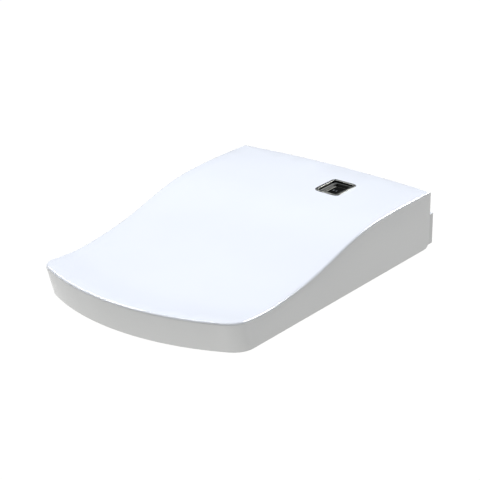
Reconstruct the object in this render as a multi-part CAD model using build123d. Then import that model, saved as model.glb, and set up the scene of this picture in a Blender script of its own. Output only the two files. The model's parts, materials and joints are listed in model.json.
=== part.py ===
from build123d import *
from math import asin, atan, atan2, cos, degrees, pi, radians, sin, sqrt, tan
import os

# Electric bidet seat. A full-cover lid and a heated seat ring share one hinge line at the rear of a wash unit,
# and the wash unit slides onto a mounting plate that is bolted to the bowl.
# Millimetres. The origin is midway between the two mounting slots, on the plane of the bowl's rim.
# +X is the right-hand side seen from the front, +Y the rear, +Z up.

# ---------------------------------------------------------------- clearances
seat_gap = 0.3  # between pieces that rest on, or beside, one another
running_gap = 0.06  # between a shaft and its bore, on the radius
slide_gap = 0.3  # between a sliding piece and its guide
overcut = 1.0  # how far a cutting block runs past the wall it opens

# ---------------------------------------------------------------- lid
lid_width = 376.0
lid_wall = 3.0
lid_rear_y = 82.0
lid_corner_y = -416.0  # where the front face would meet the sides, at the skirt's foot
lid_foot_z = 3.0
front_lean = 0.34  # forward run of the front face for each millimetre of height
front_bow = 52.0  # how far the front face bows forward at the skirt's foot
front_bow_loss = 0.06  # how much flatter that bow gets for each millimetre of height
lid_corner_radius = 36.0
lid_edge_radius = 4.0
lid_heel_radius = 13.0  # lower rear corner of each side skirt
lid_crown = 5.5  # how far the rear edge's middle stands above its ends
lid_lip = 6.0  # depth of the turned-down lip below the deck's underside, at the rear
lid_side_profile = [  # (y, z) of the lid's upper side edge: dished front, rise, level rear deck
    (-500, 55.0),
    (-425, 55.0),
    (-364, 50.6),
    (-300, 54.9),
    (-229, 66.4),
    (-167, 82.6),
    (-105, 95.8),
    (-42, 100.5),
    (41, 100.9),
    (120, 99.0),
]

# ---------------------------------------------------------------- lid window
window_x = 62.5
window_y = -6.5
window_width = 47.0  # outside of the trim, along X
window_length = 60.0  # outside of the trim, along Y
window_corner = 8.5
trim_flange = 4.5
trim_edge_radius = 0.8
trim_wall = 1.2
trim_proud = 0.9
trim_seat_depth = 1.0
trim_drop = 6.0  # how far the trim's sleeve reaches below the deck

# ---------------------------------------------------------------- hinge line, shared by the lid and the seat
hinge_y = 66.0
hinge_z = 79.0
eye_radius = 13.0
shaft_radius = 6.0
shaft_end_radius = 5.0
bush_wall = 2.0
bush_flange = 1.4
damper_radius = 11.0
damper_length = 52.0
damper_grip = 18.0  # length of shaft inside the damper
boss_depth = 3.2  # how far the lid's hinge boss stands in from the skirt

# ---------------------------------------------------------------- wash unit's casing
case_wall = 2.5
base_side_gap = 2.0  # between the lower case and the inside of the lid's skirt
case_front_y = -92.0
case_top_z = 94.0
case_brow_drop = 8.0  # sloped brow above the front wall: its height
case_brow_run = 14.0  # and its length
case_seam_z = 22.0
case_corner_radius = 4.0
base_bottom_z = 4.0
base_rear_y = 82.0
rear_seam_y = 60.0
cover_rear_y = 96.0
cover_bottom_z = 11.0
cover_top_z = 59.0
cover_corner_radius = 1.5
cover_end_inset = 2.0  # from the lid's side to the side of the cover's end, which shows behind the lid
cover_end_gap = 1.0  # between the lid's rear edge and that end
cover_foot_z = 6.5
cover_foot_width = 21.0
inlet_pocket_depth = 14.0
side_channel_wall = 2.5

# ---------------------------------------------------------------- seat
seat_side_gap = 3.5  # between the seat and the inside of the lid's skirt
seat_front_gap = 12.0
seat_rear_y = -98.0
seat_bottom_z = 8.0
seat_wall = 3.0
seat_edge_radius = 7.0
seat_hole_half_width = 108.0
seat_hole_front_y = -412.0
seat_hole_rear_y = -142.0
seat_base_thickness = 3.0
heater_thickness = 0.4
heater_glue = 0.1  # between the foil and the seat's inner surface
bridge_half_width = 66.0  # raised arch of the seat over the nozzles and the air outlet
bridge_underside_z = 36.0
seat_profile = [(-480, 41.0), (-400, 38.5), (-260, 40.0), (-170, 46.0), (-90, 56.0)]
arm_thickness = 10.5
arm_side_gap = 1.5  # between each hinge arm and the upper case
arm_root_low_z = 27.0
arm_root_high_z = 52.0

# ---------------------------------------------------------------- rubber feet and bumpers
bumper_radius = 8.0
seat_bumper_places = [(38, -160), (60, -380)]  # in from the lid's side, and along
lid_bumper_places = [(38, -190), (68, -385)]
foot_places = [(38, -70), (38, 45)]
foot_radius = 9.0

# ---------------------------------------------------------------- mounting plate and its slide
plate_half_width = 95.0
plate_core_half_width = 87.5
plate_front_y = -41.7
plate_rear_y = 35.0
plate_thickness = 6.0
plate_flange_z = 3.0
slot_spacing = 140.0
slot_length = 24.0
bolt_hole_radius = 4.5
bolt_head_radius = 9.0
slot_floor = 2.5
rail_wall = 3.0
rail_foot_z = 0.6
table_thickness = 2.7

# ---------------------------------------------------------------- control key
key_frame_gap = 1.5  # between the lid's trim and the key's frame
key_frame_left = 6.0  # the frame's broad side, where its sensor looks up
key_frame_side = 2.5  # its three narrow sides
key_frame_lip = 0.5  # how far it laps over the edge of the case's hole
key_ledge = 0.8  # the step that holds the key's flange down
key_frame_drop = 3.0  # the key frame's top below the trim's top
key_drop = 5.6  # the key's top below the trim's top
key_travel = 1.2
board_thickness = 1.6
dome_height = 1.6
dome_radius = 4.0

# ---------------------------------------------------------------- release button
button_y = 22.0
button_z = 13.5
button_length = 26.0
button_height = 9.0
button_depth = 5.0
button_travel = 3.0
stem_width = 6.0
stem_height = 4.0
stem_inner_x = 84.0
guide_places = [112.0, 150.0]

# ---------------------------------------------------------------- nozzles, in their own tilted frame
nozzle_tilt = 10.0
nozzle_front_y = -88.0
nozzle_front_z = 23.0
nozzle_spacing = 22.0
nozzle_radius = 6.5
nozzle_stroke = 85.0
nozzle_tip_length = 12.0
nozzle_tip_proud = 3.0
tray_wall = 2.5
tray_side_gap = 6.0
tray_start = 1.0
collar_depth = 8.0
rack_lead = 5.0  # rack before the pinion at rest
rack_tail = 6.0  # rack behind the pinion when the nozzle is out
rack_width = 4.4
tooth_module = 1.0
pinion_teeth = 12
pinion_station = 40.0
pinion_width = 4.0
tooth_backlash = 0.3
rack_base = 7.0  # height of the rack teeth's roots above the nozzle's axis
motor_radius = 12.0
motor_length = 18.0
motor_shaft_radius = 1.5

# ---------------------------------------------------------------- air
outlet_x0 = -62.0
outlet_x1 = -34.0
outlet_z0 = 12.0
outlet_z1 = 33.0
duct_wall = 1.8
duct_depth = 20.0
blower_x = -116.0
blower_y = -48.0
blower_radius = 28.0
blower_height = 24.0
flap_thickness = 2.0
flap_pin_radius = 1.5

# ---------------------------------------------------------------- deodoriser
deodoriser_x = -71.0
deodoriser_z = 33.0
cartridge_width = 38.0
cartridge_height = 22.0
cartridge_front_y = 48.0
deodoriser_wall = 2.0
deodoriser_front_y = 12.0
fan_radius = 9.0

# ---------------------------------------------------------------- water
inlet_x = -140.0
inlet_z = 29.0
inlet_thread_radius = 10.3
inlet_collar = 1.0
inlet_thread_length = 12.0
inlet_bore_radius = 6.0
inlet_pocket_half_width = 20.0
inlet_pocket_top_z = 48.0
filter_x = -106.0
filter_radius = 8.0
filter_flange_radius = 10.0
filter_length = 24.0
filter_socket_wall = 3.0
tank_x0 = 64.0
tank_x1 = 152.0
tank_y0 = -72.0
tank_y1 = -8.0
tank_z0 = 9.3
tank_z1 = 58.0
tank_wall = 2.5
element_radius = 3.0
hose_radius = 4.5
hose_bore_radius = 3.0
hose_bend = 10.0
cold_hose_z = 14.2
cold_hose_x = 74.0
cold_hose_y = 52.0
warm_hose_x = 110.0
warm_hose_z = 40.0
nipple_length = 6.0
element_margin = 20.0
coil_radius = 11.0
coil_height = 18.0
valve_rise = 9.0  # the valve body's top above the inlet's axis
pump_x = -150.0
pump_y = 2.0
pump_radius = 13.0
pump_height = 44.0
valve_width = 26.0
valve_front_y = 18.0
valve_rear_y = 54.0
diverter_y = 76.0
diverter_size = 24.0
diverter_half_width = 20.0
gland_x = 140.0
gland_z = 26.0
gland_radius = 9.0
gland_bore_radius = 3.6
gland_length = 12.0

half_width = lid_width / 2
skirt_inner_x = half_width - lid_wall
barrel_radius = case_top_z - hinge_z
boss_face_x = skirt_inner_x - boss_depth
arm_outer_x = boss_face_x - seat_gap
arm_inner_x = arm_outer_x - arm_thickness
base_half_width = skirt_inner_x - base_side_gap
case_half_width = arm_inner_x - arm_side_gap
case_inner_x = case_half_width - case_wall


# ---------------------------------------------------------------- small shapes
def block(x0, x1, y0, y1, z0, z1):
    """A box between three pairs of limits."""
    centre = Pos((x0 + x1) / 2, (y0 + y1) / 2, (z0 + z1) / 2)
    return centre * Box(x1 - x0, y1 - y0, z1 - z0)


def rod_x(radius, x0, x1, y, z):
    """A cylinder along X."""
    return Pos((x0 + x1) / 2, y, z) * Rot(0, 90, 0) * Cylinder(radius, abs(x1 - x0))


def rod_y(radius, x, y0, y1, z):
    """A cylinder along Y."""
    return Pos(x, (y0 + y1) / 2, z) * Rot(90, 0, 0) * Cylinder(radius, abs(y1 - y0))


def rod_z(radius, x, y, z0, z1):
    """A cylinder along Z."""
    return Pos(x, y, (z0 + z1) / 2) * Cylinder(radius, abs(z1 - z0))


def rounded_block(x, y, width, length, corner, z0, z1):
    """An upright block with rounded corners in plan, centred on a plan point."""
    return extrude(Pos(x, y, z0) * RectangleRounded(width, length, corner), amount=z1 - z0)


def side_prism(outline, x0, x1):
    """A closed outline of (y, z) corners, run along X."""
    face = make_face(Polyline(*[(0, y, z) for y, z in outline], close=True))
    return Pos(x0, 0, 0) * extrude(face, amount=x1 - x0, dir=(1, 0, 0))


def both_sides(shape):
    """A shape and its mirror image across the middle plane, as one."""
    return shape + mirror(shape, about=Plane.YZ)


def save(name, *solids):
    """Write one node, whose solids stay separate."""
    pieces = [solid for shape in solids for solid in shape.solids()]
    export_step(Compound(children=pieces), f"parts/{name}.step")


# ---------------------------------------------------------------- the lid's form
def lid_outline(z, inset=0.0):
    """The lid's plan outline at one height, drawn in by inset."""
    rise = z - lid_foot_z
    corner_y = lid_corner_y - front_lean * rise
    front_y = corner_y - front_bow + front_bow_loss * rise
    sides = Polyline(
        (half_width, corner_y), (half_width, lid_rear_y), (-half_width, lid_rear_y), (-half_width, corner_y)
    )
    front = ThreePointArc((-half_width, corner_y), (0, front_y), (half_width, corner_y))
    face = make_face([*sides.edges(), front.edge()])
    face = fillet(face.vertices().sort_by(Axis.Y)[:2], lid_corner_radius)
    if inset:
        face = offset(face, amount=-inset, kind=Kind.INTERSECTION)
    return Pos(0, 0, z) * face


lid_block_top_z = case_top_z + 40.0  # any height above the whole lid


def lid_block(inset, bottom_z):
    """A block with the lid's leaning outline, from one height to above the deck."""
    return loft([lid_outline(bottom_z, inset), lid_outline(lid_block_top_z, inset)], ruled=True)


lid_side_edge = Spline(*[(0, y, z) for y, z in lid_side_profile])
lid_top_corner_y = lid_corner_y - front_lean * (lid_side_profile[1][1] - lid_foot_z)
lid_top_bow = front_bow - front_bow_loss * (lid_side_profile[1][1] - lid_foot_z)


def lid_top_point(share, along):
    """A point of the lid's top: share is x over half the width, along runs from the front to the rear."""
    edge = lid_side_edge @ along
    to_front = (lid_rear_y - edge.Y) / (lid_rear_y - lid_top_corner_y)
    middle = 1 - share**2
    y = edge.Y - lid_top_bow * middle * to_front
    z = edge.Z + lid_crown * middle * (1 - to_front)
    return Vector(half_width * share, y, z)


def lid_top_z(x, y):
    """Height of the lid's top above a plan point."""
    low, high = 0.0, 1.0
    for _ in range(40):
        along = (low + high) / 2
        if lid_top_point(x / half_width, along).Y < y:
            low = along
        else:
            high = along
    return lid_top_point(x / half_width, low).Z


def above_lid(drop):
    """All the space above the lid's top surface, once that surface is lowered by drop."""
    shares = [-1.12 + 2.24 * i / 10 for i in range(11)]
    rows = [
        [lid_top_point(share, j / 36) - Vector(0, 0, drop) for share in shares]
        for j in range(37)
    ]
    surface = Face.make_surface_from_array_of_points(rows, tol=0.02)
    return extrude(surface, amount=120, dir=(0, 0, 1))


lid_rear_inner_z = lid_top_z(half_width, lid_rear_y) - lid_wall
lid_hollow_roof = above_lid(lid_wall)


# ---------------------------------------------------------------- lid
window_z = lid_top_z(window_x, window_y)
trim_top_z = window_z + trim_proud
sleeve_width = window_width - 2 * trim_flange + 2 * trim_wall
sleeve_length = window_length - 2 * trim_flange + 2 * trim_wall
sleeve_corner = window_corner - trim_flange + trim_wall
opening_width = window_width - 2 * trim_flange
opening_length = window_length - 2 * trim_flange
opening_corner = window_corner - trim_flange


deck_fall = lid_top_z(window_x - 0.5, window_y) - lid_top_z(window_x + 0.5, window_y)
window_place = Pos(window_x, window_y, window_z) * Rot(0, degrees(atan(deck_fall)), 0)


def window_block(width, length, corner, low, high):
    """A rounded block on the lid's window, square to the deck there, with heights above the deck."""
    return window_place * rounded_block(0, 0, width, length, corner, low, high)


def lid_shell():
    """The cover over the seat and the wash unit: deck, skirts, rear lip and hinge bosses."""
    shell = lid_block(0, lid_foot_z) - above_lid(0)
    top = shell.faces().sort_by(Axis.Z)[-1]
    shell = fillet(top.edges(), lid_edge_radius)
    heel = shell.edges().filter_by(Axis.X).group_by(Axis.Z)[0].sort_by(Axis.Y)[-1]
    shell = fillet(heel, lid_heel_radius)
    shell -= lid_block(lid_wall, lid_foot_z - overcut) - lid_hollow_roof
    shell -= block(
        -skirt_inner_x,
        skirt_inner_x,
        lid_rear_y - lid_wall - overcut,
        lid_rear_y + overcut,
        lid_foot_z - overcut,
        lid_rear_inner_z - lid_lip,
    )
    boss = rod_x(eye_radius, boss_face_x, skirt_inner_x + lid_wall / 2, hinge_y, hinge_z)
    shell += both_sides(boss)
    bore_end_x = half_width - lid_wall / 2
    shell -= rod_x(shaft_end_radius, -bore_end_x, -boss_face_x + overcut, hinge_y, hinge_z)
    shell -= rod_x(shaft_end_radius + running_gap, boss_face_x - overcut, bore_end_x, hinge_y, hinge_z)
    shell -= window_block(window_width, window_length, window_corner, -trim_seat_depth, 20)
    shell -= window_block(sleeve_width, sleeve_length, sleeve_corner, -20, 20)
    return shell


def lid_window_trim():
    """The framed edge of the lid's window: a flange let into the deck and a sleeve through it."""
    hole = window_block(opening_width, opening_length, opening_corner, -20, 20)
    flange = window_block(window_width, window_length, window_corner, -trim_seat_depth, trim_proud) - hole
    flange = fillet(flange.faces().sort_by(Axis.Z)[-1].edges(), trim_edge_radius)
    sleeve = window_block(sleeve_width, sleeve_length, sleeve_corner, -trim_drop, -trim_seat_depth)
    return flange + (sleeve - hole)


# ---------------------------------------------------------------- seat
seat_top_edge = Spline(*[(0, y, z) for y, z in seat_profile])


def seat_top_z(y):
    """Height of the seat's top surface above a point on its length."""
    low, high = 0.0, 1.0
    for _ in range(40):
        along = (low + high) / 2
        if (seat_top_edge @ along).Y < y:
            low = along
        else:
            high = along
    return (seat_top_edge @ low).Z


def seat_outline(inset):
    """The seat's plan outline: the lid's, drawn in, cut square at the rear."""
    outline = lid_outline(seat_bottom_z, lid_wall + seat_side_gap)
    forward = Pos(0, seat_front_gap - seat_side_gap, 0) * outline
    outline = outline & forward
    cut_y = seat_rear_y
    outline &= Pos(0, cut_y - 300, seat_bottom_z) * Rectangle(2 * lid_width, 600)
    if inset:
        outline = offset(outline, amount=-inset, kind=Kind.INTERSECTION)
    return outline


def seat_hole(spread):
    """The egg-shaped opening, pointed to the front, grown by spread."""
    width = seat_hole_half_width + spread
    middle_y = seat_hole_rear_y - seat_hole_half_width
    rear = Circle(width)
    front_length = middle_y - seat_hole_front_y + spread
    front = Ellipse(width, front_length) & Pos(0, -front_length, 0) * Rectangle(4 * width, 2 * front_length)
    back = rear & Pos(0, width, 0) * Rectangle(4 * width, 2 * width)
    return Pos(0, middle_y, seat_bottom_z) * (front + back)


def below_seat_top(drop):
    """The space below the seat's top surface, lowered by drop."""
    points = [(0, y, z - drop) for y, z in seat_profile]
    top = Spline(*points)
    floor_z = seat_bottom_z - 30
    rest = Polyline(points[-1], (0, points[-1][1], floor_z), (0, points[0][1], floor_z), points[0])
    face = make_face([top.edge(), *rest.edges()])
    return Pos(-lid_width, 0, 0) * extrude(face, amount=2 * lid_width, dir=(1, 0, 0))


def seat_arm():
    """The right-hand arm, from the ring's rear corner back to the hinge eye."""
    root_y = seat_rear_y - seat_wall
    bend_y = seat_rear_y + 4
    outline = [
        (root_y, arm_root_low_z),
        (bend_y, arm_root_low_z),
        (hinge_y, hinge_z - eye_radius),
        (hinge_y, hinge_z + eye_radius),
        (bend_y, arm_root_high_z),
        (root_y, arm_root_high_z),
    ]
    arm = side_prism(outline, arm_inner_x, arm_outer_x)
    return arm + rod_x(eye_radius, arm_inner_x, arm_outer_x, hinge_y, hinge_z)


seat_hollow = (
    Pos(0, 0, -overcut) * extrude(seat_outline(seat_wall), amount=80)
    - Pos(0, 0, -overcut) * extrude(seat_hole(seat_wall), amount=80)
) & below_seat_top(seat_wall)


def bridge_block(spread, top_z):
    """The space under the seat's rear bridge, widened by spread."""
    half = bridge_half_width + spread
    return block(-half, half, seat_hole_rear_y - 60, seat_rear_y + overcut, -overcut, top_z)


def seat_top():
    """The seat's upper shell, bridged over the nozzles, with its two hinge arms."""
    ring = extrude(seat_outline(0), amount=80) & below_seat_top(0)
    ring -= extrude(seat_hole(0), amount=80)
    top = ring.faces().sort_by(Axis.Z)[-1]
    ring = fillet(top.edges(), seat_edge_radius)
    ring -= seat_hollow - bridge_block(seat_wall, bridge_underside_z + seat_wall)
    ring -= bridge_block(0, bridge_underside_z)
    ring += both_sides(seat_arm())
    ring -= rod_x(shaft_radius, arm_inner_x - overcut, arm_outer_x + overcut, hinge_y, hinge_z)
    loose_radius = shaft_radius + running_gap
    ring -= rod_x(loose_radius, -arm_outer_x - overcut, -arm_inner_x + overcut, hinge_y, hinge_z)
    return ring


def seat_base():
    """The plate that closes the seat from below, either side of the bridge."""
    fit = seat_wall + seat_gap
    plate = extrude(seat_outline(fit), amount=seat_base_thickness)
    plate -= extrude(seat_hole(fit), amount=seat_base_thickness)
    return plate - bridge_block(fit, bridge_underside_z)


def seat_heater():
    """The heating foil stuck under the seat's top surface."""
    margin = seat_wall + 8
    foil = extrude(seat_outline(margin), amount=80) - extrude(seat_hole(margin), amount=80)
    depth = seat_wall + heater_glue
    foil = foil & below_seat_top(depth) - below_seat_top(depth + heater_thickness)
    return foil - bridge_block(seat_wall + 2, 80)


def seat_bumpers():
    """Rubber pads that carry the seat on the rim."""
    return [
        rod_z(bumper_radius, side * (half_width - inward), y, 0, seat_bottom_z)
        for inward, y in seat_bumper_places
        for side in (-1, 1)
    ]


def lid_bumpers():
    """Rubber pads on the lid's underside that rest on the seat."""
    pads = []
    for inward, y in lid_bumper_places:
        x = half_width - inward
        for side in (-1, 1):
            pad = rod_z(bumper_radius, side * x, y, seat_top_z(y) - 10, lid_top_z(x, y))
            pads.append(pad - lid_hollow_roof - below_seat_top(-seat_gap))
    return pads


# ---------------------------------------------------------------- hinge shafts, bushes and dampers
bush_inner_x = case_inner_x - 2.0
damper_face_x = bush_inner_x - seat_gap
bush_radius = shaft_radius + running_gap + bush_wall
shaft_tip_x = half_width - lid_wall / 2 - seat_gap


def hinge_shaft():
    """The right-hand shaft: it turns in the damper, the case's bush, the seat's arm and the lid's boss."""
    shoulder_x = (arm_outer_x + boss_face_x) / 2
    shaft = rod_x(shaft_radius, damper_face_x - damper_grip, shoulder_x, hinge_y, hinge_z)
    return shaft + rod_x(shaft_end_radius, shoulder_x, shaft_tip_x, hinge_y, hinge_z)


def damper():
    """The right-hand soft-close damper's body, with the bore its shaft turns in."""
    body = rod_x(damper_radius, damper_face_x - damper_length, damper_face_x, hinge_y, hinge_z)
    body = chamfer(body.edges().filter_by(GeomType.CIRCLE), 1.0)
    bore_x = damper_face_x - damper_grip - seat_gap
    return body - rod_x(shaft_radius + running_gap, bore_x, damper_face_x + overcut, hinge_y, hinge_z)


def hinge_bush():
    """The right-hand flanged bush in the case's side wall."""
    bush = rod_x(bush_radius, bush_inner_x, case_half_width, hinge_y, hinge_z)
    bush += rod_x(bush_radius + bush_flange, case_half_width, arm_inner_x - seat_gap, hinge_y, hinge_z)
    return bush - rod_x(shaft_radius + running_gap, bush_inner_x - 1, arm_inner_x, hinge_y, hinge_z)


# ---------------------------------------------------------------- the nozzles' tilted frame
nozzle_place = Pos(0, nozzle_front_y, nozzle_front_z) * Rot(nozzle_tilt, 0, 0)
nozzle_half_spacing = nozzle_spacing / 2
rack_start = pinion_station - rack_lead
rack_end = pinion_station + nozzle_stroke + rack_tail
tray_half_width = nozzle_half_spacing + nozzle_radius + tray_side_gap + tray_wall
tray_floor = -nozzle_radius - slide_gap
tray_length = rack_end + slide_gap + tray_wall
addendum = 0.7 * tooth_module
dedendum = 1.25 * tooth_module
pitch_radius = tooth_module * pinion_teeth / 2
pitch_line = rack_base + dedendum
pinion_height = pitch_line + pitch_radius + 0.1
bracket_x = tray_half_width + 4.0
pressure_angle = radians(20)


def nozzle_port(x, clearance, length):
    """The keyhole that a nozzle and its rack slide through."""
    radius = nozzle_radius + clearance
    half = rack_width / 2 + clearance
    hole = rod_y(radius, x, -length, length, 0)
    return hole + block(x - half, x + half, -length, length, 0, pitch_line + addendum + clearance)


def both_ports(clearance, length):
    """The keyholes of both nozzles, placed in the case."""
    ports = nozzle_port(-nozzle_half_spacing, clearance, length)
    return nozzle_place * (ports + nozzle_port(nozzle_half_spacing, clearance, length))


def rack_tooth(station):
    """One straight-flanked rack tooth, as (along, height) corners."""
    half_pitch = tooth_module * pi / 4 - tooth_backlash / 2
    top = half_pitch - addendum * tan(pressure_angle)
    root = half_pitch + dedendum * tan(pressure_angle)
    tip = pitch_line + addendum
    return [
        (station - root, rack_base),
        (station - top, tip),
        (station + top, tip),
        (station + root, rack_base),
    ]


def nozzle(x):
    """One nozzle's tube with the toothed rack along its back."""
    start = nozzle_tip_length - nozzle_tip_proud
    tube = rod_y(nozzle_radius, x, start, rack_end, 0)
    x0, x1 = x - rack_width / 2, x + rack_width / 2
    tube += block(x0, x1, rack_start, rack_end, nozzle_radius - 2, rack_base)
    pitch = tooth_module * pi
    first = int((rack_start - pinion_station) / pitch)
    last = int((rack_end - pinion_station) / pitch)
    teeth = [side_prism(rack_tooth(pinion_station + i * pitch), x0, x1) for i in range(first, last)]
    return nozzle_place * tube.fuse(*teeth)


def nozzle_tip(x):
    """One nozzle's spray head, with its holes looking up."""
    tip = rod_y(nozzle_radius, x, -nozzle_tip_proud, nozzle_tip_length - nozzle_tip_proud, 0)
    tip = fillet(tip.edges().filter_by(GeomType.CIRCLE).sort_by(Axis.Y)[0], 2.0)
    for hole_x in (-1.5, 1.5):
        tip -= rod_z(0.6, x + hole_x, nozzle_tip_length / 4, 0, nozzle_radius + overcut)
    return nozzle_place * tip


def involute_corner(radius, half_angle, side):
    """A point on a tooth flank at a radius, on one side of the tooth's middle line."""
    base = pitch_radius * cos(pressure_angle)
    shift = tan(pressure_angle) - pressure_angle
    if radius > base:
        turn = sqrt((radius / base) ** 2 - 1)
        shift -= turn - asin(sqrt(1 - (base / radius) ** 2))
    angle = side * (half_angle + shift)
    return radius * sin(angle), -radius * cos(angle)


def pinion(side):
    """The gear that drives one nozzle, with its shaft out to the motor."""
    tip_radius = pitch_radius + tooth_module
    root_radius = pitch_radius - dedendum
    half_angle = (tooth_module * pi / 4 - tooth_backlash / 2) / pitch_radius
    radii = [root_radius + (tip_radius - root_radius) * i / 5 for i in range(6)]
    flank = [involute_corner(r, half_angle, -1) for r in radii]
    flank += [involute_corner(r, half_angle, 1) for r in reversed(radii)]
    x0 = nozzle_half_spacing - pinion_width / 2
    x1 = nozzle_half_spacing + pinion_width / 2
    gear = rod_x(root_radius + 0.05, x0, x1, 0, 0)
    tooth = side_prism(flank, x0, x1)
    half_step = 180 / pinion_teeth
    teeth = [Rot(half_step * (2 * i + 1), 0, 0) * tooth for i in range(pinion_teeth)]
    gear = gear.fuse(*teeth)
    gear += rod_x(motor_shaft_radius, x0, bracket_x + motor_length / 2, 0, 0)
    placed = nozzle_place * Pos(0, pinion_station, pinion_height) * gear
    return placed if side > 0 else mirror(placed, about=Plane.YZ)


def nozzle_frame():
    """The tray that carries both nozzles and their motors, on two legs."""
    w, wall = tray_half_width, tray_wall
    start = tray_start
    tray = block(-w, w, start, tray_length, tray_floor - wall, tray_floor)
    tray += both_sides(block(w - wall, w, start, tray_length, tray_floor - wall, 2))
    tray += block(-w, w, tray_length - wall, tray_length, tray_floor - wall, nozzle_radius)
    tray += block(-w, w, start, start + collar_depth, tray_floor - wall, pitch_line + 3)
    bracket = block(
        w - wall,
        bracket_x,
        pinion_station - motor_radius,
        pinion_station + motor_radius,
        tray_floor - wall,
        pinion_height + motor_radius,
    )
    tray += both_sides(bracket)
    hole = Pos(0, pinion_station, pinion_height) * rod_x(
        motor_shaft_radius + running_gap, w - wall - overcut, bracket_x + overcut, 0, 0
    )
    tray = nozzle_place * (tray - both_sides(hole))
    tray -= both_ports(slide_gap, 60)
    leg = block(w - 8, w - 1, case_front_y + 26, case_front_y + 40, table_top_z, 22)
    leg += block(w - 8, w - 1, 16, 30, table_top_z, 40)
    under = nozzle_place * block(-w, w, start, tray_length, tray_floor - wall / 2, pinion_height)
    return tray + both_sides(leg - under)


def nozzle_motors():
    """The two stepper motors, with the bores the pinion shafts turn in."""
    body = rod_x(motor_radius, bracket_x, bracket_x + motor_length, 0, 0)
    body -= rod_x(motor_shaft_radius + running_gap, bracket_x - 1, bracket_x + motor_length / 2 + 0.5, 0, 0)
    placed = nozzle_place * Pos(0, pinion_station, pinion_height) * body
    return [placed, mirror(placed, about=Plane.YZ)]


# ---------------------------------------------------------------- mounting plate
table_top_z = plate_thickness + slide_gap + table_thickness
table_half_width = plate_half_width + slide_gap + rail_wall


def mounting_plate():
    """The plate that is bolted to the bowl: a core with side flanges, and two slots with sunk heads."""
    core = block(
        -plate_core_half_width, plate_core_half_width, plate_front_y, plate_rear_y, 0, plate_thickness
    )
    plate = core + block(
        -plate_half_width, plate_half_width, plate_front_y, plate_rear_y, plate_flange_z, plate_thickness
    )
    for x in (-slot_spacing / 2, slot_spacing / 2):
        slot = SlotOverall(slot_length, 2 * bolt_hole_radius)
        sunk = SlotOverall(slot_length + 2 * (bolt_head_radius - bolt_hole_radius), 2 * bolt_head_radius)
        plate -= Pos(x, 0, -overcut) * extrude(slot, amount=plate_thickness + 2 * overcut)
        plate -= Pos(x, 0, slot_floor) * extrude(sunk, amount=plate_thickness)
    return plate


# ---------------------------------------------------------------- casing
post_radius = 4.0
screw_radius = 1.5
screw_head_radius = 3.5
screw_head_height = 2.0
screw_reach = 14.0
post_places = [(case_inner_x - 9, case_front_y + 12), (case_inner_x - 9, rear_seam_y - 10)]
base_floor_z = base_bottom_z + case_wall

key_width = window_width - 2 * (trim_flange + key_frame_gap)
key_length = window_length - 2 * (trim_flange + key_frame_gap)
key_corner = opening_corner - key_frame_gap
key_x = window_x + (key_frame_left - key_frame_side) / 2
key_hole_width = key_width - key_frame_left - key_frame_side
key_hole_length = key_length - 2 * key_frame_side
key_top_z = trim_top_z - key_drop
key_frame_top_z = trim_top_z - key_frame_drop
key_step_z = case_top_z - 1.2
key_flange_z = key_step_z - seat_gap - 1.5
plunger_z = key_flange_z - 1.5
dome_top_z = plunger_z - key_travel - 0.1
board_top_z = dome_top_z - dome_height

board_half_length = 28.0
board_left = 46.0
board_right = 44.0
board_x0 = window_x - board_left
board_x1 = window_x + board_right
chip_height = 4.0
chip_size = 5.0
chip_length = 12.0
chip_spacing = 20.0
power_x0 = -112.0
power_x1 = -42.0
power_y0 = -12.0
power_y1 = 48.0
power_z = 60.0
transformer_width = 26.0
transformer_length = 24.0
transformer_height = 18.0
capacitor_radius = 6.0
capacitor_height = 16.0
board_inset = 4.0
sensor_x0, sensor_x1, sensor_z0, sensor_z1 = 108.0, 132.0, 66.0, 78.0
light_half_width, light_z0, light_z1 = 20.0, 68.0, 73.0
flap_axis_y = case_front_y + 2.0
flap_axis_z = outlet_z1 - 2.2
flap_pin_length = 2.5


def case_side(inset):
    """The upper case's side view, drawn in by inset."""
    slope = atan2(case_brow_drop, case_brow_run)
    front_y, rear_y = case_front_y + inset, rear_seam_y - inset
    top, foot = case_top_z - inset, cover_top_z + inset
    radius = barrel_radius - inset
    barrel_end = (hinge_y - inset, hinge_z - sqrt(radius**2 - inset**2))
    front = Polyline(
        (rear_y, foot),
        (rear_y, case_seam_z + inset),
        (front_y, case_seam_z + inset),
        (front_y, case_top_z - case_brow_drop - inset * tan(pi / 4 - slope / 2)),
        (case_front_y + case_brow_run + inset * tan(slope / 2), top),
        (hinge_y, top),
    )
    barrel = ThreePointArc((hinge_y, top), (hinge_y + radius, hinge_z), barrel_end)
    rear = Polyline(barrel_end, (hinge_y - inset, foot), (rear_y, foot))
    return Plane.YZ * make_face([*front.edges(), barrel.edge(), *rear.edges()])


def front_openings():
    """Cuts through the case's front wall for the nozzles and the warm air."""
    cuts = both_ports(0.9, 20) & block(-60, 60, case_front_y - 9, case_front_y + case_wall + 0.5, 0, 60)
    outlet = block(
        outlet_x0, outlet_x1, case_front_y - overcut, case_front_y + case_wall + overcut, outlet_z0, outlet_z1
    )
    return cuts + outlet


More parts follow.
